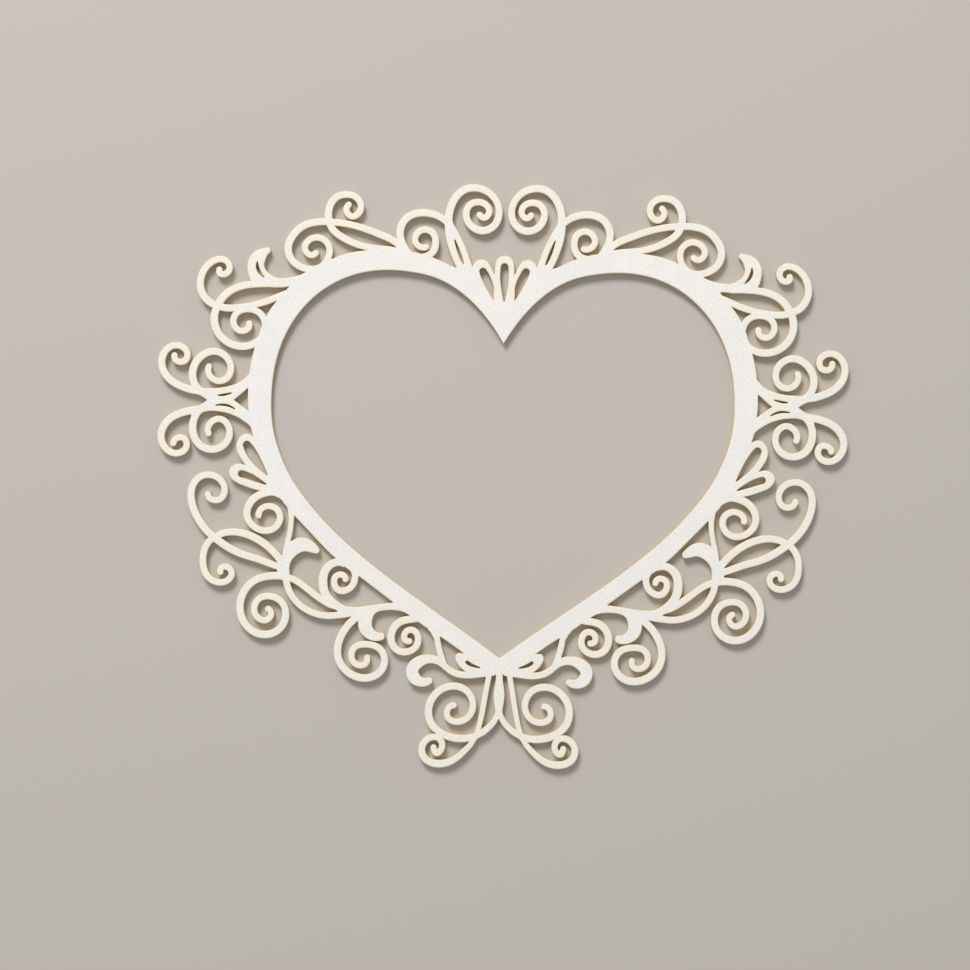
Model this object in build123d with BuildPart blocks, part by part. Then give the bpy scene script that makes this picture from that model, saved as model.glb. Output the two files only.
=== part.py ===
"""Heart shaped photo frame, laser cut from one sheet of thick pulp board.

The sheet lies flat: +X to the right, +Y towards the heart's lobes, +Z up out of the
show face. The origin is at the middle of the back, on the axis of symmetry.
Outline places are shares of half the window's width (x) and height (y).
"""

from build123d import *
from math import ceil, radians
import os

# The sheet and its heart shaped window
board_thickness = 1.5
window_width = 80.6
window_height = 67.0

# Strokes of the scroll work
stroke_width = 1.3
coil_width = 1.15
tip_width = 1.05
leg_width = 0.95
stem_width = 0.9
stem_root = 1.4
slit_width = 0.6
thin_slit = 0.45
slit_end = 0.2

# Broad strokes
crown_waist = 1.35
crown_belly = 2.75
crown_foot = 2.3
crescent_root = 3.4
crescent_foot = 3.0
crescent_belly = 2.7
crescent_tip = 1.05
hook_neck = 1.45
hook_belly = 2.1
hook_tip = 1.2
petal_foot = 3.4
petal_belly = 3.8
petal_tip = 3.2
petal_hole_neck = 1.0
petal_hole_belly = 1.7
petal_hole_tip = 1.3
petal_loop_neck = 1.2
petal_loop_belly = 2.05
petal_loop_end = 1.45
low_loop_neck = 0.75
low_loop_belly = 1.25
post_width = 1.05
trunk_stroke = 1.55
trunk_leaf_foot = 2.6

# Round stretches are cut as short straight facets
facet_turn = 19
tip_turn = 30
facet_depth = 0.03
longest_facet = 2.5
least_facet = 0.08
sample_gap = 0.1

half_width = window_width / 2
half_height = window_height / 2


def places(outline_shares):
    """Turns shares of the half window into places on the sheet."""
    return [Vector(x * half_width, y * half_height) for x, y in outline_shares]


def smooth_line(points):
    """The smooth curve through the given places."""
    return Spline(*points, mode=Mode.PRIVATE)


def facet_stops(curve):
    """Shares of a curve's length where facets meet, as far apart as its bend allows."""
    count = ceil(curve.length / sample_gap)
    headings = [curve.tangent_at(step / count) for step in range(count + 1)]
    stops = [0]
    for step in range(1, count):
        run = (step - stops[-1]) * curve.length / count
        turn = headings[stops[-1]].get_angle(headings[step])
        depth = run * radians(turn) / 8
        if turn >= facet_turn or depth >= facet_depth or run >= longest_facet:
            stops.append(step)
    return [step / count for step in stops + [count]]


def width_at(widths, stop):
    """Width at a share of the stroke's length, between evenly spaced widths."""
    place = stop * (len(widths) - 1)
    before = min(int(place), len(widths) - 2)
    return widths[before] + (widths[before + 1] - widths[before]) * (place - before)


def plate(corners, mode=Mode.ADD):
    """Draws the area inside straight edges from corner to corner."""
    with BuildLine() as outline:
        Polyline(*corners, close=True)
    make_face(outline.edges(), mode=mode)


def stroke(path_shares, *widths, mode=Mode.ADD):
    """Draws a stroke along its middle line, square at its root and round at its tip."""
    middle = smooth_line(places(path_shares))
    left_edge, right_edge = [], []
    for stop in facet_stops(middle):
        heading = middle.tangent_at(stop)
        out = heading.rotate(Axis.Z, 90) * width_at(widths, stop) / 2
        for edge, corner in ((left_edge, out), (right_edge, -out)):
            corner += middle.position_at(stop)
            if not edge or (corner - edge[-1]).dot(heading) > least_facet:
                edge.append(corner)
    tip = middle.position_at(1)
    cap = [tip + out.rotate(Axis.Z, -turn) for turn in range(tip_turn, 180, tip_turn)]
    plate([*left_edge, *cap, *reversed(right_edge)], mode)


def patch(outline_shares, mode=Mode.ADD):
    """Draws the area inside a smooth outline whose ends are joined straight."""
    outline_curve = smooth_line(places(outline_shares))
    plate([outline_curve.position_at(stop) for stop in facet_stops(outline_curve)], mode)


# Heart band
window_edge_shares = [
    (0, 0.690), (0.100, 0.858), (0.200, 0.966), (0.298, 1.028), (0.400, 1.056), (0.500, 1.065),
    (0.596, 1.054), (0.700, 1.015), (0.801, 0.941), (0.900, 0.812), (0.968, 0.645), (1.000, 0.400),
    (0.985, 0.200), (0.958, 0.100), (0.920, 0.000), (0.866, -0.100), (0.798, -0.200), (0.719, -0.300),
    (0.625, -0.400), (0.521, -0.500), (0.407, -0.600), (0.288, -0.700), (0.168, -0.800),
    (0, -0.945),
]
band_edge_shares = [
    (0, 0.875), (0.060, 0.915), (0.085, 0.955), (0.110, 1.005), (0.135, 1.045), (0.202, 1.077),
    (0.316, 1.136), (0.450, 1.167), (0.606, 1.164), (0.745, 1.119), (0.870, 1.020), (0.986, 0.890),
    (1.077, 0.643), (1.101, 0.400), (1.076, 0.191), (1.030, 0.060), (1.000, -0.008), (0.965, -0.106),
    (0.928, -0.172), (0.893, -0.218), (0.822, -0.306), (0.704, -0.445), (0.612, -0.527),
    (0.461, -0.662), (0.384, -0.733), (0.320, -0.788), (0.257, -0.836), (0.157, -0.920),
    (0.083, -0.990), (0, -1.035),
]


def edge_corners(edge_shares):
    """Corners along the smooth edge through the given shares."""
    edge = smooth_line(places(edge_shares))
    return [edge.position_at(stop) for stop in facet_stops(edge)]


with BuildSketch() as band_sketch:
    window_corners = edge_corners(window_edge_shares)
    with BuildLine():
        Polyline(*edge_corners(band_edge_shares), *reversed(window_corners), close=True)
    make_face()
    mirror(about=Plane.YZ)


# Crown scroll, on a split stem beside the cleft
crown_coil_shares = [
    (0.244, 1.303), (0.243, 1.355), (0.219, 1.439), (0.181, 1.484), (0.131, 1.497), (0.058, 1.458),
    (0.027, 1.373), (0.045, 1.306), (0.096, 1.275), (0.151, 1.305), (0.169, 1.365), (0.152, 1.409),
    (0.116, 1.423), (0.081, 1.406), (0.070, 1.372), (0.084, 1.345), (0.111, 1.357),
]
crown_stem_shares = [(0.246, 1.325), (0.230, 1.256), (0.207, 1.185), (0.180, 1.105), (0.150, 1.020)]
crown_slit_shares = [(0.217, 1.226), (0.202, 1.174), (0.178, 1.102)]

with BuildSketch() as crown_scroll:
    stroke(crown_coil_shares, crown_waist, stroke_width, coil_width, stroke_width, coil_width, tip_width)
    stroke(crown_stem_shares, crown_waist, crown_belly, crown_belly, crown_foot)
    stroke(crown_slit_shares, slit_end, slit_width, slit_end, mode=Mode.SUBTRACT)

# Bow and eye of the curl between the crown scroll and the top spray
crown_bow_shares = [
    (0.243, 1.307), (0.263, 1.329), (0.310, 1.357), (0.364, 1.364), (0.427, 1.334), (0.4535, 1.262),
    (0.436, 1.186), (0.400, 1.130),
]
crown_eye_shares = [
    (0.395, 1.130), (0.357, 1.131), (0.313, 1.158), (0.299, 1.214), (0.312, 1.260), (0.350, 1.277),
    (0.384, 1.248), (0.386, 1.211), (0.367, 1.188), (0.341, 1.185),
]
with BuildSketch() as crown_bow:
    stroke(crown_bow_shares, coil_width, stroke_width, stroke_width, stroke_width)

with BuildSketch() as crown_eye:
    stroke(crown_eye_shares, stroke_width, coil_width, tip_width)

# Fan of three petals over the cleft
centre_petal_shares = [(0, 0.860), (0, 0.980), (0, 1.098)]
centre_hole_shares = [(0, 0.908), (0, 0.965), (0, 1.030), (0, 1.088)]
side_petal_shares = [(0.050, 0.870), (0.075, 0.990), (0.100, 1.077)]
side_hole_shares = [(0.030, 0.890), (0.062, 0.982), (0.093, 1.063)]

petal_hole = (slit_end, petal_hole_neck, petal_hole_belly, petal_hole_tip)

with BuildSketch() as cleft_fan:
    stroke(side_petal_shares, petal_foot, petal_belly, petal_tip)
    stroke(side_hole_shares, *petal_hole, mode=Mode.SUBTRACT)
    mirror(about=Plane.YZ)
    stroke(centre_petal_shares, petal_foot, petal_belly, petal_tip)
    stroke(centre_hole_shares, *petal_hole, mode=Mode.SUBTRACT)

# Top spray: two strokes that cross, each ending in a scroll
top_low_shares = [
    (0.430, 1.145), (0.490, 1.167), (0.550, 1.174), (0.643, 1.198), (0.705, 1.234), (0.744, 1.272),
    (0.763, 1.330), (0.757, 1.395), (0.729, 1.440), (0.687, 1.454), (0.645, 1.440), (0.624, 1.400),
    (0.633, 1.358), (0.661, 1.340), (0.683, 1.362), (0.676, 1.401),
]
top_high_shares = [
    (0.430, 1.150), (0.477, 1.214), (0.545, 1.251), (0.628, 1.286), (0.720, 1.307), (0.800, 1.310),
    (0.866, 1.291), (0.914, 1.240), (0.9355, 1.172), (0.9185, 1.110), (0.871, 1.071), (0.810, 1.066),
    (0.777, 1.092), (0.759, 1.135), (0.760, 1.185), (0.800, 1.227), (0.848, 1.212), (0.863, 1.170),
    (0.845, 1.140), (0.815, 1.147),
]
with BuildSketch() as top_spray:
    stroke(top_low_shares, stroke_width, coil_width, stroke_width, coil_width, tip_width)
    stroke(top_high_shares, stroke_width, coil_width, stroke_width, coil_width, tip_width)

# Shoulder spray: a crescent leaf and two strokes that cross
shoulder_leaf_shares = [
    (1.045, 1.000), (1.0685, 1.045), (1.073, 1.092), (1.055, 1.131), (1.024, 1.158),
]
shoulder_leaf_slit_shares = [(1.0675, 1.099), (1.067, 1.072), (1.058, 1.046), (1.039, 1.0185)]
shoulder_bridge_shares = [(0.835, 1.041), (0.890, 1.007), (0.950, 0.992), (1.040, 0.992)]
shoulder_flare_shares = [
    (0.965, 1.005), (0.978, 1.0165), (0.997, 1.0225), (1.004, 1.031), (1.020, 1.040), (1.045, 1.003),
]
shoulder_tip_shares = [
    (0.905, 0.995), (0.9295, 0.977), (0.930, 0.968), (0.938, 0.9595), (0.939, 0.953), (0.915, 0.945),
]
shoulder_high_shares = [
    (0.980, 0.988), (1.070, 0.983), (1.139, 0.970), (1.193, 0.937), (1.230, 0.885), (1.249, 0.825),
    (1.239, 0.741), (1.194, 0.681), (1.127, 0.658), (1.056, 0.690), (1.029, 0.760), (1.055, 0.832),
    (1.110, 0.852), (1.157, 0.826), (1.166, 0.773), (1.135, 0.738), (1.103, 0.754), (1.099, 0.777),
]
shoulder_low_shares = [
    (0.915, 0.947), (0.945, 0.934), (0.975, 0.918), (1.050, 0.884), (1.130, 0.861), (1.199, 0.857),
    (1.254, 0.874), (1.298, 0.920), (1.313, 0.990), (1.295, 1.056), (1.255, 1.101), (1.212, 1.107),
    (1.187, 1.072), (1.202, 1.035), (1.227, 1.034), (1.231, 1.055),
]
with BuildSketch() as shoulder_spray:
    stroke(shoulder_leaf_shares, crescent_root, crescent_foot, crescent_belly, crescent_tip)
    stroke(shoulder_bridge_shares, crown_waist, trunk_stroke, trunk_stroke)
    plate(places(shoulder_flare_shares))
    plate(places(shoulder_tip_shares))
    stroke(shoulder_leaf_slit_shares, slit_end, slit_width, slit_width, slit_end, mode=Mode.SUBTRACT)
    stroke(shoulder_high_shares, coil_width, stroke_width, stroke_width, coil_width, tip_width)
    stroke(shoulder_low_shares, coil_width, coil_width, stroke_width, coil_width, tip_width)

# Side butterfly: four scrolled wings on one body
butterfly_body_shares = [
    (1.050, 0.560), (1.098, 0.515), (1.120, 0.486), (1.160, 0.460), (1.229, 0.441), (1.330, 0.439),
    (1.349, 0.420), (1.305, 0.399), (1.276, 0.377), (1.309, 0.350), (1.344, 0.334), (1.330, 0.313),
    (1.229, 0.319), (1.167, 0.302), (1.116, 0.269), (1.082, 0.230), (1.050, 0.180),
]
butterfly_hole_shares = [(1.080, 0.464), (1.162, 0.379), (1.080, 0.308)]
butterfly_high_slit_shares = [(1.171, 0.415), (1.200, 0.406), (1.229, 0.402)]
butterfly_low_slit_shares = [(1.156, 0.332), (1.196, 0.352), (1.238, 0.350)]
wing_one_shares = [
    (1.300, 0.420), (1.335, 0.470), (1.340, 0.530), (1.313, 0.595), (1.251, 0.631), (1.194, 0.599),
    (1.176, 0.540), (1.195, 0.490), (1.233, 0.477), (1.265, 0.501), (1.271, 0.551),
]
wing_two_shares = [
    (1.290, 0.418), (1.335, 0.427), (1.378, 0.442), (1.443, 0.487), (1.475, 0.570), (1.447, 0.645),
    (1.400, 0.658), (1.365, 0.620), (1.375, 0.580), (1.404, 0.575), (1.420, 0.607),
]
wing_three_shares = [
    (1.300, 0.334), (1.331, 0.285), (1.337, 0.220), (1.307, 0.145), (1.255, 0.121), (1.198, 0.150),
    (1.178, 0.204), (1.190, 0.256), (1.224, 0.280), (1.257, 0.263), (1.269, 0.204),
]
wing_four_shares = [
    (1.290, 0.332), (1.379, 0.312), (1.445, 0.268), (1.474, 0.187), (1.445, 0.115), (1.400, 0.099),
    (1.363, 0.137), (1.376, 0.178), (1.403, 0.178), (1.420, 0.151),
]
with BuildSketch() as side_butterfly:
    plate(places(butterfly_body_shares))
    plate(places(butterfly_hole_shares), mode=Mode.SUBTRACT)
    stroke(butterfly_high_slit_shares, slit_end, thin_slit, slit_end, mode=Mode.SUBTRACT)
    stroke(butterfly_low_slit_shares, slit_end, thin_slit, slit_end, mode=Mode.SUBTRACT)
    for wing_shares in (wing_one_shares, wing_two_shares, wing_three_shares, wing_four_shares):
        stroke(wing_shares, stroke_width, stroke_width, coil_width, tip_width)

# Pair of looped petals under the butterfly
high_petal_shares = [
    (1.010, 0.040), (1.060, 0.170), (1.080, 0.195), (1.102, 0.204), (1.122, 0.198), (1.138, 0.177),
    (1.147, 0.142), (1.140, 0.103), (1.107, 0.042), (1.050, -0.060), (0.980, -0.090),
]
high_petal_hole_shares = [(1.012, -0.010), (1.048, 0.047), (1.079, 0.100), (1.102, 0.146)]
low_petal_shares = [
    (1.008, 0.030), (1.107, 0.042), (1.147, 0.047), (1.170, 0.030), (1.178, 0.004), (1.165, -0.031),
    (1.118, -0.063), (1.047, -0.090), (0.944, -0.119),
]
low_petal_hole_shares = [(1.016, -0.058), (1.050, -0.038), (1.085, -0.019), (1.1245, -0.004)]
with BuildSketch() as petal_pair:
    patch(high_petal_shares)
    patch(low_petal_shares)
    high_loop = (slit_end, petal_loop_neck, petal_loop_belly, petal_loop_end)
    low_loop = (slit_end, low_loop_neck, low_loop_belly, low_loop_belly)
    stroke(high_petal_hole_shares, *high_loop, mode=Mode.SUBTRACT)
    stroke(low_petal_hole_shares, *low_loop, mode=Mode.SUBTRACT)

# Scroll at the waist of the heart
waist_scroll_shares = [
    (0.935, -0.095), (1.015, -0.100), (1.064, -0.126), (1.093, -0.172), (1.097, -0.224),
    (1.066, -0.278), (1.014, -0.298), (0.975, -0.279), (0.955, -0.228), (0.967, -0.189),
    (0.998, -0.170), (1.032, -0.180), (1.048, -0.219),
]
waist_root_shares = [
    (0.935, -0.100), (0.938, -0.146), (0.950, -0.1365), (0.961, -0.127), (0.973, -0.121),
    (0.990, -0.1145), (0.990, -0.100),
]
with BuildSketch() as waist_scroll:
    plate(places(waist_root_shares))
    stroke(waist_scroll_shares, stroke_width, stroke_width, coil_width, coil_width, tip_width)

# Vine: thin stem, crescent leaf, and the knot that the outer strokes grow from
vine_stem_shares = [
    (0.914, -0.140), (0.907, -0.200), (0.907, -0.250), (0.913, -0.310), (0.926, -0.380), (0.934, -0.440),
]
vine_leaf_shares = [
    (0.925, -0.362), (0.906, -0.350), (0.895, -0.343), (0.880, -0.334), (0.860, -0.331),
    (0.835, -0.336), (0.812, -0.352), (0.790, -0.378), (0.783, -0.393), (0.788, -0.409),
    (0.797, -0.413), (0.812, -0.408), (0.835, -0.402), (0.862, -0.407), (0.890, -0.430),
    (0.910, -0.470), (0.919, -0.515), (0.935, -0.530),
]
vine_knot_shares = [
    (0.906, -0.345), (0.912, -0.512), (0.907, -0.552), (0.940, -0.540), (0.965, -0.520), (0.965, -0.450),
    (0.945, -0.427), (0.934, -0.370),
]
with BuildSketch() as vine_stem:
    stroke(vine_stem_shares, stem_root, stem_width, stem_width, stem_width)
    patch(vine_leaf_shares)
    plate(places(vine_knot_shares))

# Tendrils: the vine's long leaf and the two scrolls that cross beyond it
tendril_high_shares = [
    (0.935, -0.475), (0.957, -0.440), (1.000, -0.386), (1.046, -0.346), (1.103, -0.316),
    (1.165, -0.306), (1.215, -0.320), (1.252, -0.347), (1.280, -0.400), (1.286, -0.460),
    (1.267, -0.535), (1.223, -0.568), (1.176, -0.556), (1.161, -0.519), (1.180, -0.489),
    (1.206, -0.494), (1.210, -0.515),
]
tendril_low_shares = [
    (0.930, -0.496), (0.968, -0.481), (1.052, -0.444), (1.130, -0.415), (1.198, -0.371),
    (1.252, -0.323), (1.304, -0.249), (1.338, -0.150), (1.334, -0.067), (1.301, -0.021),
    (1.255, -0.012), (1.210, -0.043), (1.196, -0.092), (1.219, -0.139), (1.253, -0.138),
    (1.268, -0.112),
]
with BuildSketch() as tendril_spray:
    stroke(tendril_high_shares, stroke_width, stroke_width, coil_width, coil_width, tip_width)
    stroke(tendril_low_shares, coil_width, stroke_width, stroke_width, coil_width, tip_width)

# Big spiral under the vine's knot
vine_spiral_shares = [
    (0.924, -0.535), (0.993, -0.532), (1.066, -0.560), (1.110, -0.622), (1.1235, -0.700),
    (1.107, -0.769), (1.063, -0.822), (1.010, -0.837), (0.952, -0.807), (0.926, -0.744),
    (0.941, -0.671), (0.990, -0.638), (1.041, -0.651), (1.062, -0.705), (1.043, -0.752),
    (1.010, -0.762), (0.989, -0.735), (1.002, -0.703),
]
with BuildSketch() as vine_spiral:
    stroke(vine_spiral_shares, stroke_width, stroke_width, stroke_width, coil_width, tip_width)

# Trunk along the lower edge, with the hollow leaf that joins it to the vine
trunk_shares = [
    (0.390, -0.670), (0.461, -0.662), (0.540, -0.674), (0.605, -0.686), (0.695, -0.685),
    (0.748, -0.640), (0.703, -0.711), (0.703, -0.750), (0.640, -0.733), (0.608, -0.752),
    (0.560, -0.765), (0.554, -0.736), (0.530, -0.713), (0.495, -0.703), (0.450, -0.702),
    (0.415, -0.711), (0.380, -0.735), (0.330, -0.745),
]
trunk_high_shares = [
    (0.640, -0.710), (0.720, -0.683), (0.781, -0.644), (0.834, -0.596), (0.890, -0.551), (0.935, -0.536),
]
trunk_low_shares = [
    (0.620, -0.716), (0.695, -0.731), (0.760, -0.734), (0.829, -0.709), (0.892, -0.647),
    (0.920, -0.582), (0.930, -0.522),
]
trunk_leaf_shares = [
    (0.574, -0.712), (0.583, -0.755), (0.577, -0.802), (0.549, -0.834), (0.514, -0.839),
]
with BuildSketch() as trunk_spray:
    plate(places(trunk_shares))
    stroke(trunk_high_shares, stroke_width, coil_width, coil_width)
    stroke(trunk_low_shares, coil_width, coil_width, coil_width)
    stroke(trunk_leaf_shares, trunk_leaf_foot, crown_foot, crown_waist)

# Scroll between the trunk and the vine
inner_coil_shares = [
    (0.604, -0.470), (0.625, -0.505), (0.631, -0.556), (0.656, -0.595), (0.695, -0.6035),
    (0.7185, -0.562), (0.709, -0.528), (0.686, -0.521), (0.669, -0.544),
]
inner_corner_shares = [
    (0.630, -0.500), (0.640, -0.528), (0.6425, -0.520), (0.6445, -0.511), (0.651, -0.5015),
    (0.6575, -0.492), (0.672, -0.4815), (0.680, -0.472), (0.668, -0.462),
]
inner_sweep_shares = [
    (0.670, -0.465), (0.722, -0.461), (0.757, -0.500), (0.7665, -0.556), (0.756, -0.619),
    (0.7215, -0.6685), (0.690, -0.6935), (0.655, -0.712),
]
with BuildSketch() as inner_coil:
    plate(places(inner_corner_shares))
    stroke(inner_coil_shares, coil_width, coil_width, tip_width)

with BuildSketch() as inner_sweep:
    stroke(inner_sweep_shares, stroke_width, trunk_stroke, stroke_width)

# Spiral hanging from the trunk
trunk_spiral_shares = [
    (0.586, -0.715), (0.626, -0.747), (0.673, -0.812), (0.698, -0.886), (0.697, -0.950),
    (0.669, -1.010), (0.619, -1.049), (0.565, -1.055), (0.511, -1.017), (0.496, -0.957),
    (0.517, -0.904), (0.576, -0.881), (0.625, -0.896), (0.640, -0.940), (0.624, -0.981),
    (0.591, -0.990), (0.571, -0.950),
]
with BuildSketch() as trunk_spiral:
    stroke(trunk_spiral_shares, stroke_width, stroke_width, stroke_width, coil_width, tip_width)

# Scroll under the band's lower edge
heel_scroll_shares = [
    (0.330, -0.733), (0.384, -0.747), (0.435, -0.765), (0.466, -0.815), (0.465, -0.873),
    (0.438, -0.911), (0.395, -0.916), (0.359, -0.885), (0.354, -0.836), (0.376, -0.804),
    (0.406, -0.814), (0.410, -0.852), (0.391, -0.862),
]
with BuildSketch() as heel_scroll:
    stroke(heel_scroll_shares, stroke_width, stroke_width, coil_width, tip_width)

# Foot: arm, post, hook and a small curl beside the heart's point
foot_arm_shares = [
    (0.020, -1.015), (0.090, -1.028), (0.150, -1.034), (0.200, -1.020), (0.235, -0.990), (0.270, -0.958),
]
foot_hook_shares = [
    (0.235, -0.984), (0.270, -0.959), (0.315, -0.954), (0.354, -0.974), (0.376, -1.011),
    (0.366, -1.052), (0.335, -1.073), (0.303, -1.066),
]
foot_post_shares = [(0.2785, -0.790), (0.269, -0.860), (0.258, -0.915), (0.240, -0.980)]
foot_post_corner_shares = [
    (0.275, -0.795), (0.281, -0.850), (0.2915, -0.831), (0.297, -0.818), (0.303, -0.8095),
    (0.311, -0.7985), (0.300, -0.785),
]
foot_curl_shares = [
    (0.060, -0.960), (0.120, -0.935), (0.160, -0.921), (0.180, -0.921), (0.190, -0.938), (0.184, -0.968),
    (0.166, -0.997), (0.146, -1.016), (0.080, -1.030),
]
foot_slit_shares = [(0.083, -0.9955), (0.100, -0.990), (0.127, -0.978), (0.1395, -0.9675)]

with BuildSketch() as foot_spray:
    stroke(foot_arm_shares, stroke_width, coil_width, coil_width)
    stroke(foot_hook_shares, stroke_width, hook_neck, hook_belly, hook_belly, hook_tip)
    stroke(foot_post_shares, post_width, post_width, post_width)
    plate(places(foot_post_corner_shares))
    patch(foot_curl_shares)
    stroke(foot_slit_shares, slit_end, slit_width, slit_width, mode=Mode.SUBTRACT)

# Spindle under the heart's point, with a wing on each side
spindle_edge_shares = [
    (0.0145, -1.010), (0.0148, -1.050), (0.017, -1.075), (0.023, -1.120), (0.0215, -1.170),
    (0.0168, -1.200), (0.0155, -1.228),
]
spindle_end_shares = [(0, -1.262), (0, -1.010)]
wing_leg_shares = [
    (0.040, -1.010), (0.0525, -1.087), (0.0705, -1.214), (0.083, -1.290), (0.101, -1.357),
    (0.148, -1.430), (0.205, -1.482), (0.265, -1.4959), (0.318, -1.467), (0.330, -1.412),
    (0.300, -1.364), (0.262, -1.361), (0.243, -1.408), (0.263, -1.441), (0.280, -1.412),
]
wing_sweep_shares = [
    (0.001, -1.213), (0.019, -1.270), (0.053, -1.315), (0.100, -1.351), (0.165, -1.364),
    (0.236, -1.344), (0.291, -1.287), (0.303, -1.207), (0.273, -1.133), (0.209, -1.093),
    (0.141, -1.115), (0.112, -1.190), (0.130, -1.249), (0.178, -1.277), (0.219, -1.256),
    (0.220, -1.211), (0.195, -1.192),
]
with BuildSketch() as spindle:
    with BuildLine():
        Polyline(*edge_corners(spindle_edge_shares), *places(spindle_end_shares), close=True)
    make_face()
    mirror(about=Plane.YZ)

with BuildSketch() as foot_wing:
    stroke(wing_leg_shares, leg_width, leg_width, leg_width, stroke_width, coil_width, tip_width)
    stroke(wing_sweep_shares, leg_width, stroke_width, stroke_width, coil_width, tip_width)

# Each design of the right half gives up the area of what was drawn before it
centre_sketches = {"heart_band": band_sketch, "cleft_fan": cleft_fan, "spindle": spindle}
side_sketches = {
    "crown_scroll": crown_scroll,
    "crown_bow": crown_bow,
    "crown_eye": crown_eye,
    "top_spray": top_spray,
    "shoulder_spray": shoulder_spray,
    "side_butterfly": side_butterfly,
    "petal_pair": petal_pair,
    "waist_scroll": waist_scroll,
    "vine_stem": vine_stem,
    "tendril_spray": tendril_spray,
    "vine_spiral": vine_spiral,
    "trunk_spray": trunk_spray,
    "inner_coil": inner_coil,
    "inner_sweep": inner_sweep,
    "trunk_spiral": trunk_spiral,
    "heel_scroll": heel_scroll,
    "foot_spray": foot_spray,
    "foot_wing": foot_wing,
}

os.makedirs("parts", exist_ok=True)
drawn_before = []
for name, drawing in centre_sketches.items():
    with BuildPart() as centre_piece:
        with BuildSketch():
            add(drawing.sketch)
            add(drawn_before, mode=Mode.SUBTRACT)
        extrude(amount=board_thickness)
    drawn_before.append(drawing.sketch)
    centre_piece.part.label = name
    export_step(centre_piece.part, f"parts/{name}.step")

for name, drawing in side_sketches.items():
    with BuildPart() as right_piece:
        with BuildSketch():
            add(drawing.sketch)
            add(drawn_before, mode=Mode.SUBTRACT)
        extrude(amount=board_thickness)
    drawn_before.append(drawing.sketch)
    right_piece.part.label = f"{name}_right"
    export_step(right_piece.part, f"parts/{name}_right.step")

    with BuildPart() as left_piece:
        mirror(right_piece.part, about=Plane.YZ)
    left_piece.part.label = f"{name}_left"
    export_step(left_piece.part, f"parts/{name}_left.step")
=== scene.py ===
# Heart shaped photo frame, laser cut from one sheet of white pulp board, lying on a pale
# table under soft light and seen from straight above. Lengths are in metres.
import math

import bmesh
import bpy
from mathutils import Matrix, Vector
from mathutils.geometry import intersect_line_line_2d, intersect_point_line
from mathutils.kdtree import KDTree


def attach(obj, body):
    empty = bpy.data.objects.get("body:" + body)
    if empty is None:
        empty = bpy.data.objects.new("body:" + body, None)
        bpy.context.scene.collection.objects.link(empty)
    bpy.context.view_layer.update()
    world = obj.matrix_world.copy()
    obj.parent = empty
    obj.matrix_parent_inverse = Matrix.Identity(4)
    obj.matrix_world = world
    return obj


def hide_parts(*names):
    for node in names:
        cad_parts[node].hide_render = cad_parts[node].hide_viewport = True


mm = 0.001

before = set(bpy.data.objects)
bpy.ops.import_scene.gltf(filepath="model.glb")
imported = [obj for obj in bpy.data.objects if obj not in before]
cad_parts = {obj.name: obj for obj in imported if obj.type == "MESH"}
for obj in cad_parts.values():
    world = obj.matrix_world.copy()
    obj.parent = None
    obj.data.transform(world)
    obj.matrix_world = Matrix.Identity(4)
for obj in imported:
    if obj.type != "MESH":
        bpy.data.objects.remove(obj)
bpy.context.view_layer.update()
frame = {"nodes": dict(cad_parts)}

# The laser leaves a scorched, slightly rounded rim along everything that it cut.
board_thickness = 1.5 * mm
rim_width = 0.18 * mm
rim_drop = 0.04 * mm

# Its smoke warms the thin scroll work, which has cuts on both sides, more than the band:
# nothing with least_cut of cut within its reach, and fully with most_cut.
smoke_reach = 1.5 * mm
least_cut = 3 * mm
most_cut = 9 * mm

# Corners nearer than touching are one, and a corner that turns more than sharp_turn stays
# sharp. A face lies flat where its normal's z is over lies_flat.
touching = 0.002 * mm
sharp_turn = math.radians(38)
same_plane = math.radians(1)
lies_flat = 0.5

# What is too small for the laser to have cut is taken out of the outline.
longest_sliver = 0.6 * mm
longest_spur = 0.4 * mm
spur_angle = math.radians(100)

# How finely the sheet is divided away from the cut, and how often at most.
longest_edge = 2 * mm
most_divisions = 3

# The scorch is narrowed where it crosses another edge that comes this near.
crossing_reach = 0.35 * mm
most_narrowings = 8


def linear(hex_colour):
    """The linear colour that a shader takes, from an sRGB hex value."""
    parts = [int(hex_colour[start:start + 2], 16) / 255 for start in (1, 3, 5)]
    return [p / 12.92 if p <= 0.04045 else ((p + 0.055) / 1.055) ** 2.4 for p in parts] + [1]


def add_node(tree, kind, settings, links):
    """One shader node. A setting is a property or an input's value, and a link feeds an input."""
    made = tree.nodes.new(kind)
    for name, value in settings.items():
        if isinstance(name, str) and hasattr(made, name):
            setattr(made, name, value)
        else:
            made.inputs[name].default_value = value
    for name, source in links.items():
        tree.links.new(source, made.inputs[name])
    return made


def new_material(name):
    """An empty node material and its tree."""
    material = bpy.data.materials.new(name)
    material.use_nodes = True
    material.node_tree.nodes.clear()
    return material, material.node_tree


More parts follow.
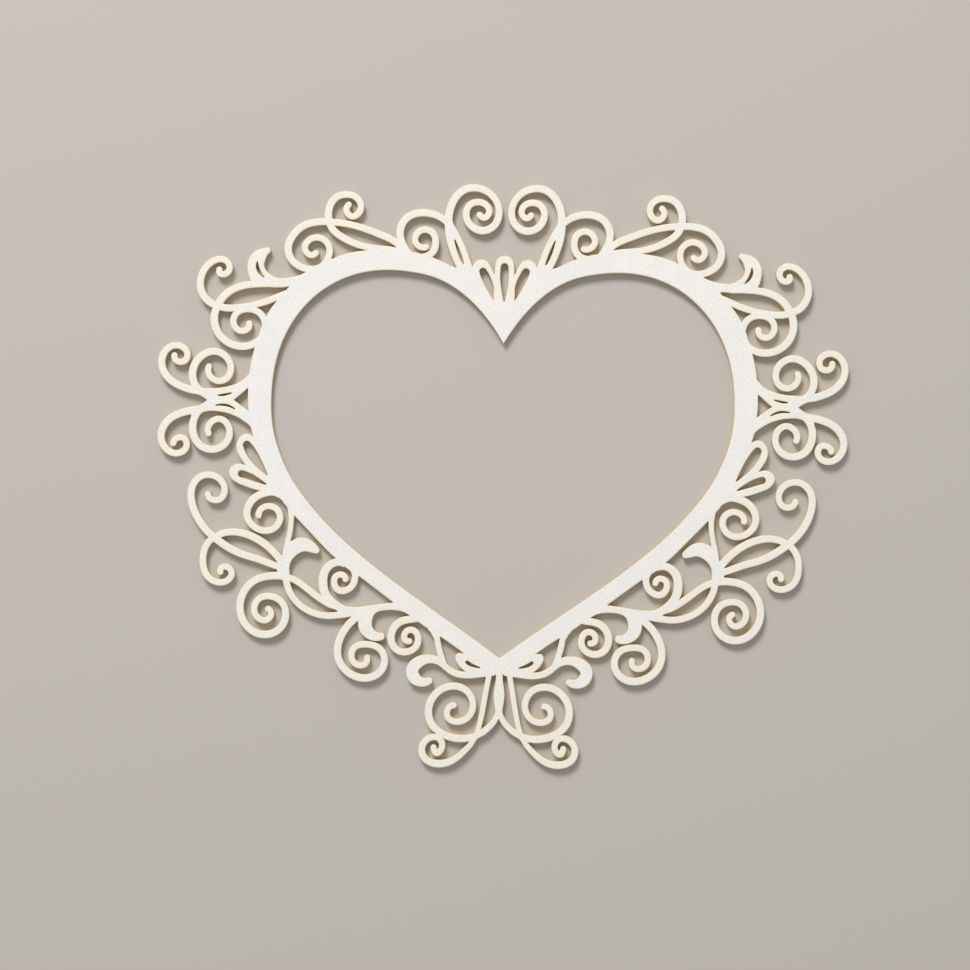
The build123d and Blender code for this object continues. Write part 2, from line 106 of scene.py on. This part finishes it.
def pressed_pulp_face():
    """White pulp board, pressed and uncoated: a matt warm white face, faintly cloudy, with
    pressed pebbles whose hollows are painted darker as painted shade, short matted fibres, a rare
    pale brown fleck, a breath of cream smoke on the thin strokes and a cream scorch along the
    laser's cut."""
    material, tree = new_material("pressed_pulp_face")
    place = add_node(tree, "ShaderNodeTexCoord", {}, {}).outputs["Object"]
    # pulp clouds are 2 to 4 mm across
    clouds = add_node(tree, "ShaderNodeTexNoise", {"Scale": 330, "Detail": 3, "Roughness": 0.6},
                      {"Vector": place})
    cloud_edge = add_node(tree, "ShaderNodeMapRange", {"From Min": 0.35, "From Max": 0.65},
                          {"Value": clouds.outputs["Fac"]})
    tone = add_node(tree, "ShaderNodeMix",
                    {"data_type": "RGBA", 6: linear("#f5f5f4"), 7: linear("#fef9f3")},
                    {0: cloud_edge.outputs[0]})
    # fibres are 0.03 mm thick and 1 to 2 mm long: drawn 0.25 mm thick so that they show
    mats = []
    for turn in (25, 95, 160):
        laid = add_node(tree, "ShaderNodeMapping",
                        {"Rotation": (0, 0, math.radians(turn)), "Scale": (700, 4000, 700)},
                        {"Vector": place})
        mats.append(add_node(tree, "ShaderNodeTexNoise", {"Scale": 1, "Detail": 2},
                             {"Vector": laid.outputs["Vector"]}))
    two = add_node(tree, "ShaderNodeMath", {"operation": "MAXIMUM"},
                   {0: mats[0].outputs["Fac"], 1: mats[1].outputs["Fac"]})
    matted = add_node(tree, "ShaderNodeMath", {"operation": "MAXIMUM"},
                      {0: two.outputs[0], 1: mats[2].outputs["Fac"]})
    fibre = add_node(tree, "ShaderNodeMapRange",
                     {"From Min": 0.5, "From Max": 0.8, "To Min": 0, "To Max": 0.5},
                     {"Value": matted.outputs[0]})
    fibred = add_node(tree, "ShaderNodeMix", {"data_type": "RGBA", 7: linear("#fcfaf7")},
                      {0: fibre.outputs[0], 6: tone.outputs[2]})
    smoke = add_node(tree, "ShaderNodeAttribute", {"attribute_name": "smoke"}, {})
    smoked = add_node(tree, "ShaderNodeMix", {"data_type": "RGBA", 7: linear("#fff4de")},
                      {0: smoke.outputs["Fac"], 6: fibred.outputs[2]})
    # the press leaves pebbles about 0.3 mm across; their hollows, where the bump is low, are
    # painted darker as painted shade
    pebbles = add_node(tree, "ShaderNodeTexNoise", {"Scale": 3400, "Detail": 1},
                       {"Vector": place})
    pebble_hollow_shade = add_node(tree, "ShaderNodeMapRange",
                      {"From Min": 0.35, "From Max": 0.65, "To Min": 0.45, "To Max": 0},
                      {"Value": pebbles.outputs["Fac"]})
    pebble_shaded = add_node(tree, "ShaderNodeMix", {"data_type": "RGBA", 7: linear("#e2dbd0")},
                       {0: pebble_hollow_shade.outputs[0], 6: smoked.outputs[2]})
    # flecks of darker pulp are about 0.15 mm across and several millimetres apart
    fleck = add_node(tree, "ShaderNodeTexVoronoi", {"Scale": 300, "Randomness": 1},
                     {"Vector": place})
    fleck_core = add_node(tree, "ShaderNodeMapRange",
                          {"From Min": 0.015, "From Max": 0.035, "To Min": 0.3, "To Max": 0},
                          {"Value": fleck.outputs["Distance"]})
    flecked = add_node(tree, "ShaderNodeMix", {"data_type": "RGBA", 7: linear("#cdbfae")},
                       {0: fleck_core.outputs[0], 6: pebble_shaded.outputs[2]})
    # the scorch is unevenly strong along the cut, in waves of about 3 mm
    rim = add_node(tree, "ShaderNodeAttribute", {"attribute_name": "cut_rim"}, {})
    waves = add_node(tree, "ShaderNodeTexNoise", {"Scale": 330, "Detail": 2}, {"Vector": place})
    strength = add_node(tree, "ShaderNodeMapRange",
                        {"From Min": 0.3, "From Max": 0.7, "To Min": 0.55, "To Max": 1},
                        {"Value": waves.outputs["Fac"]})
    scorch = add_node(tree, "ShaderNodeMath", {"operation": "MULTIPLY"},
                      {0: rim.outputs["Fac"], 1: strength.outputs[0]})
    coloured = add_node(tree, "ShaderNodeMix", {"data_type": "RGBA", 7: linear("#f0dfba")},
                        {0: scorch.outputs[0], 6: flecked.outputs[2]})
    relief = add_node(tree, "ShaderNodeMath", {"operation": "ADD"},
                      {0: pebbles.outputs["Fac"], 1: matted.outputs[0]})
    bump = add_node(tree, "ShaderNodeBump", {"Strength": 0.5, "Distance": 0.03 * mm},
                    {"Height": relief.outputs[0]})
    board = add_node(tree, "ShaderNodeBsdfPrincipled",
                     {"Roughness": 0.9, "IOR": 1.5, "Specular IOR Level": 0.3},
                     {"Base Color": coloured.outputs[2], "Normal": bump.outputs[0]})
    add_node(tree, "ShaderNodeOutputMaterial", {}, {"Surface": board.outputs[0]})
    return material


def laser_cut_edge():
    """The same board where the laser went through: singed cream to pale tan, darker towards
    the back, with the fine upright lines that the beam's pulses leave."""
    material, tree = new_material("laser_cut_pulp_edge")
    place = add_node(tree, "ShaderNodeTexCoord", {}, {}).outputs["Object"]
    height = add_node(tree, "ShaderNodeSeparateXYZ", {}, {"Vector": place})
    depth = add_node(tree, "ShaderNodeMapRange",
                     {"From Min": 0, "From Max": board_thickness, "To Min": 1, "To Max": 0},
                     {"Value": height.outputs["Z"]})
    singed = add_node(tree, "ShaderNodeMix",
                      {"data_type": "RGBA", 6: linear("#f1e1bd"), 7: linear("#dec89d")},
                      {0: depth.outputs[0]})
    # the pulses are 0.05 mm apart: drawn 0.2 mm apart so that they show
    upright = add_node(tree, "ShaderNodeMapping", {"Scale": (5000, 5000, 250)},
                       {"Vector": place})
    pulses = add_node(tree, "ShaderNodeTexNoise", {"Scale": 1, "Detail": 2},
                      {"Vector": upright.outputs["Vector"]})
    pulse_tone = add_node(tree, "ShaderNodeMapRange",
                          {"From Min": 0.45, "From Max": 0.75, "To Min": 0, "To Max": 0.4},
                          {"Value": pulses.outputs["Fac"]})
    lined = add_node(tree, "ShaderNodeMix", {"data_type": "RGBA", 7: linear("#c4a678")},
                     {0: pulse_tone.outputs[0], 6: singed.outputs[2]})
    bump = add_node(tree, "ShaderNodeBump", {"Strength": 0.4, "Distance": 0.03 * mm},
                    {"Height": pulses.outputs["Fac"]})
    edge = add_node(tree, "ShaderNodeBsdfPrincipled",
                    {"Roughness": 0.85, "IOR": 1.5, "Specular IOR Level": 0.3},
                    {"Base Color": lined.outputs[2], "Normal": bump.outputs[0]})
    add_node(tree, "ShaderNodeOutputMaterial", {}, {"Surface": edge.outputs[0]})
    return material


def joined_face():
    """The show faces of all the CAD pieces, joined into the one sheet that they were cut
    from. Each face's material number says which piece it belongs to."""
    sheet = bmesh.new()
    for number, cad_piece in enumerate(frame["nodes"].values()):
        known = len(sheet.faces)
        sheet.from_mesh(cad_piece.data)
        sheet.faces.ensure_lookup_table()
        for face in sheet.faces[known:]:
            face.material_index = number
    sheet.normal_update()
    others = [face for face in sheet.faces if face.normal.z < lies_flat]
    bmesh.ops.delete(sheet, geom=others, context="FACES")
    bmesh.ops.remove_doubles(sheet, verts=sheet.verts, dist=touching)
    split_at_corners(sheet)
    bmesh.ops.remove_doubles(sheet, verts=sheet.verts, dist=touching)
    bmesh.ops.dissolve_limit(sheet, angle_limit=same_plane, edges=sheet.edges,
                             delimit={"MATERIAL"})
    close_slivers(sheet)
    blunt_spurs(sheet)
    return sheet


def close_slivers(sheet):
    """Closes the two slivers beside the foot slits, which are thinner than a laser's cut."""
    short = [edge for edge in sheet.edges
             if edge.is_boundary and edge.calc_length() < longest_sliver]
    for face in bmesh.ops.holes_fill(sheet, edges=short, sides=4)["faces"]:
        face.normal_update()
        if face.normal.z < 0:
            face.normal_flip()
        beside = face.loops[0].link_loop_radial_next.face
        face.material_index = beside.material_index


def blunt_spurs(sheet):
    """Takes off the teeth, under half a millimetre long, where a stroke's end just passes
    the edge of the stroke that it joins."""
    spurs = []
    for corner in sheet.verts:
        if corner.is_boundary and len(corner.link_edges) == 2:
            start, end = (edge.other_vert(corner).co - corner.co for edge in corner.link_edges)
            if max(start.length, end.length) < longest_spur and start.angle(end) < spur_angle:
                spurs.append(corner)
    bmesh.ops.dissolve_verts(sheet, verts=spurs)


def split_at_corners(sheet):
    """Cuts open edges where a neighbour's corner lies on them, so that both pieces have the
    same points where they meet."""
    corners = KDTree(len(sheet.verts))
    for number, corner in enumerate(sheet.verts):
        corners.insert(corner.co, number)
    corners.balance()
    for edge in [edge for edge in sheet.edges if edge.is_boundary]:
        start, end = (corner.co.copy() for corner in edge.verts)
        length = edge.calc_length()
        shares = []
        for spot, number, gap in corners.find_range((start + end) / 2, length / 2):
            on_edge, share = intersect_point_line(spot, start, end)
            if (on_edge - spot).length < touching < min(share, 1 - share) * length:
                shares.append(share)
        here, done = edge.verts[0], 0
        for share in sorted(shares):
            here = bmesh.utils.edge_split(edge, here, (share - done) / (1 - done))[1]
            done = share


def round_outline(sheet):
    """Halves each of the outline's facets and lays its middle on the smooth curve that runs
    through its ends. Sharp corners stay sharp."""
    middles = {edge: rounded_middle(edge) for edge in sheet.edges if edge.is_boundary}
    for edge, middle in middles.items():
        bmesh.utils.edge_split(edge, edge.verts[0], 0.5)[1].co = middle


def rounded_middle(edge):
    """The middle of the smooth curve over one facet. At a smooth corner the curve runs along
    the arc through that corner and the two beside it, and at a sharp one along the facet."""
    start, end = edge.verts
    length = edge.calc_length()
    ahead = (end.co - start.co) / length
    bends = []
    for corner, way in ((start, ahead), (end, -ahead)):
        other = next(near for near in corner.link_edges if near.is_boundary and near != edge)
        back = corner.co - other.other_vert(corner).co
        smooth = way.angle(back) < sharp_turn
        bends.append((way * back.length + back.normalized() * length).normalized()
                     if smooth else way)
    return (start.co + end.co) / 2 + (bends[0] + bends[1]) * length / 8


def soften_cut(sheet):
    """Insets the sheet by the width of the scorch, and lets the laser's rim fall away a
    little. Where two pieces meet, the sheet runs on flat and unmarked."""
    bmesh.ops.inset_region(sheet, faces=sheet.faces, thickness=rim_width, use_boundary=True,
                           use_even_offset=False)
    cut_rim = sheet.verts.layers.float.new("cut_rim")
    outer = {}
    for corner in sheet.verts:
        if corner.is_boundary:
            corner[cut_rim] = 1
            inner = next(edge.other_vert(corner) for edge in corner.link_edges
                         if not edge.is_boundary)
            outer[inner] = corner
    narrow_scorch(sheet, outer)
    for corner in outer.values():
        corner.co.z -= rim_drop
    divide_wide_parts(sheet)
    mark_smoke(sheet)


def divide_wide_parts(sheet):
    """Gives the wide parts corners away from the cut, so that the smoke fades evenly."""
    for division in range(most_divisions):
        inside = [face for face in sheet.faces
                  if not any(corner.is_boundary for corner in face.verts)]
        bmesh.ops.triangulate(sheet, faces=inside, quad_method="BEAUTY",
                              ngon_method="BEAUTY")
        long_edges = [edge for edge in sheet.edges if edge.calc_length() > longest_edge
                      and not any(corner.is_boundary for face in edge.link_faces
                                  for corner in face.verts)]
        bmesh.ops.subdivide_edges(sheet, edges=long_edges, cuts=1)


def mark_smoke(sheet):
    """Marks each corner by how much was cut around it."""
    smoke = sheet.verts.layers.float.new("smoke")
    cut_corners = [corner for corner in sheet.verts if corner.is_boundary]
    spots = KDTree(len(cut_corners))
    lengths = []
    for number, corner in enumerate(cut_corners):
        spots.insert(corner.co, number)
        lengths.append(sum(edge.calc_length() for edge in corner.link_edges
                           if edge.is_boundary) / 2)
    spots.balance()
    for corner in sheet.verts:
        cut = sum(lengths[number]
                  for spot, number, gap in spots.find_range(corner.co, smoke_reach))
        corner[smoke] = min(max((cut - least_cut) / (most_cut - least_cut), 0), 1)


def narrow_scorch(sheet, outer):
    """Halves the width of the scorch wherever it runs over a seam or itself, until it fits."""
    scorch = [edge for edge in sheet.edges
              if any(corner.is_boundary for face in edge.link_faces for corner in face.verts)]
    middles = KDTree(len(scorch))
    for number, edge in enumerate(scorch):
        middles.insert((edge.verts[0].co + edge.verts[1].co) / 2, number)
    middles.balance()
    close = [(edge, scorch[number]) for edge in sheet.edges for spot, number, gap in
             middles.find_range((edge.verts[0].co + edge.verts[1].co) / 2,
                                edge.calc_length() / 2 + crossing_reach)
             if not set(edge.verts) & set(scorch[number].verts)]
    for narrowing in range(most_narrowings):
        crossed = {corner for pair in close if cross(*pair)
                   for edge in pair for corner in edge.verts if corner in outer}
        if not crossed:
            break
        for inner in crossed:
            inner.co = (inner.co + outer[inner].co) / 2


def cross(one, other):
    """Whether two edges cross, seen from above."""
    spots = [corner.co.to_2d() for corner in [*one.verts, *other.verts]]
    return intersect_line_line_2d(*spots) is not None


def cut_out(sheet, number):
    """The faces of one piece of the sheet, with their mirror image at the back and the cut
    edge between the two."""
    board = sheet.copy()
    others = [face for face in board.faces if face.material_index != number]
    bmesh.ops.delete(board, geom=others, context="FACES")
    made = bmesh.ops.extrude_face_region(board, geom=board.faces[:] + board.edges[:],
                                         use_keep_orig=True)
    for corner in made["geom"]:
        if isinstance(corner, bmesh.types.BMVert):
            corner.co.z = board_thickness - corner.co.z
    bmesh.ops.recalc_face_normals(board, faces=board.faces)
    for face in board.faces:
        is_cut_edge = abs(face.normal.z) < lies_flat
        face.material_index = 1 if is_cut_edge else 0
        face.smooth = is_cut_edge
    for edge in board.edges:
        edge.smooth = edge.calc_face_angle(math.pi) < sharp_turn
    return board


def new_object(name, shape, materials):
    """An object at the origin, with its place in its mesh."""
    mesh = bpy.data.meshes.new(name)
    shape.to_mesh(mesh)
    shape.free()
    for material in materials:
        mesh.materials.append(material)
    made = bpy.data.objects.new(name, mesh)
    bpy.context.scene.collection.objects.link(made)
    return made


sheet = joined_face()
# Halved twice, the facets are too short to show.
round_outline(sheet)
round_outline(sheet)
soften_cut(sheet)
board_materials = [pressed_pulp_face(), laser_cut_edge()]

for number, name in enumerate(frame["nodes"]):
    piece = new_object(name + "_board", cut_out(sheet, number), board_materials)
    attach(piece, "root")
    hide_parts(name)
sheet.free()


def painted_table():
    """A plain pale grey painted table: matt and even, darker than the board so that its
    white shows, and with no pattern of its own."""
    material, tree = new_material("matt_painted_table")
    paint = add_node(tree, "ShaderNodeBsdfPrincipled",
                     {"Base Color": linear("#c3bdb6"), "Roughness": 0.8}, {})
    add_node(tree, "ShaderNodeOutputMaterial", {}, {"Surface": paint.outputs[0]})
    return material


table_reach = 1.5
under_board = 0.02 * mm
table_top = bmesh.new()
bmesh.ops.create_grid(table_top, x_segments=1, y_segments=1, size=table_reach)
bmesh.ops.translate(table_top, verts=table_top.verts, vec=(0, 0, -under_board))
new_object("table_top", table_top, [painted_table()])

# Soft light from above the lobes, a little to the left, as the photo's shadows show.
lamp_place = Vector((-0.25, 0.7, 0.75))
lamp_data = bpy.data.lights.new("soft_box", "AREA")
lamp_data.size = 0.35
lamp_data.energy = 8
lamp = bpy.data.objects.new("soft_box", lamp_data)
lamp.location = lamp_place
lamp.rotation_euler = (-lamp_place).to_track_quat("-Z", "Y").to_euler()
bpy.context.scene.collection.objects.link(lamp)

world = bpy.data.worlds.new("studio")
world.use_nodes = True
studio_white = world.node_tree.nodes["Background"]
studio_white.inputs["Color"].default_value = linear("#ffffff")
studio_white.inputs["Strength"].default_value = 0.45
bpy.context.scene.world = world

# The picture is 168.7 mm wide at the board. Its middle is left of and below the frame's.
picture_width = 168.7 * mm
camera_data = bpy.data.cameras.new("camera")
camera_data.lens = 85
camera_data.sensor_width = 36
camera_data.clip_start = 0.01
camera = bpy.data.objects.new("camera", camera_data)
camera_height = picture_width * camera_data.lens / camera_data.sensor_width
camera.location = (-2.92 * mm, -1.53 * mm, board_thickness + camera_height)
camera.rotation_euler = (0, 0, math.radians(0.75))
bpy.context.scene.collection.objects.link(camera)
bpy.context.scene.camera = camera
bpy.context.scene.view_settings.view_transform = "Standard"
